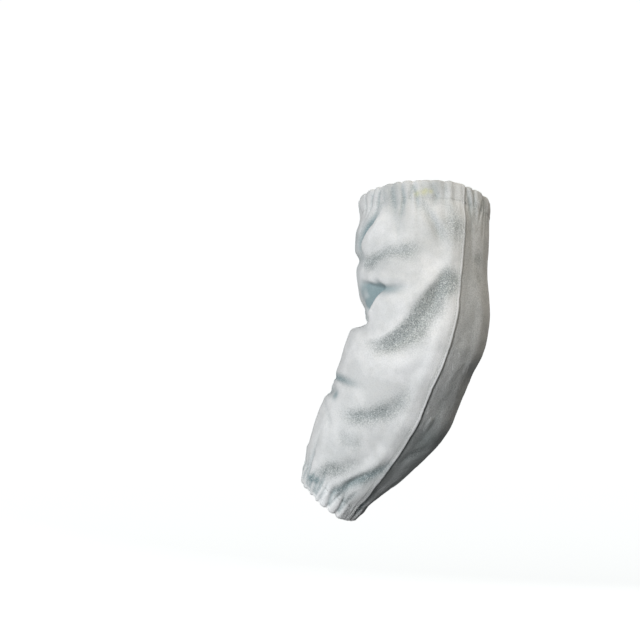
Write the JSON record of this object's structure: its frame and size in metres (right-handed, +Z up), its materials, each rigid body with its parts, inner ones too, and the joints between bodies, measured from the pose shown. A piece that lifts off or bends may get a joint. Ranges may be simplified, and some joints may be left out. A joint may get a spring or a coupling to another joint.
{
  "type": "leather welding sleeve",
  "caption": "Leather welding sleeve for a bent arm: two lapped panels sewn along the arm, with elastic gathered hems at both ends.",
  "frame": {"origin": "centre of the upper opening, where the upper arm goes in", "axes": "+Z up along the upper arm, which leans 10 degrees towards -Y, +X to the outer side of the elbow, -Y the side with the seam that shows"},
  "size_m": [0.2185, 0.1551, 0.3891],
  "materials": {
    "split_leather": "pale grey-green chrome-tanned split leather with a suede nap",
    "elastic_and_thread": "off-white knitted elastic and spun sewing thread"
  },
  "bodies": {
    "root": {"front_panel": "split_leather", "back_panel": "split_leather", "upper_elastic": "elastic_and_thread", "wrist_elastic": "elastic_and_thread"}
  },
  "joints": []
}
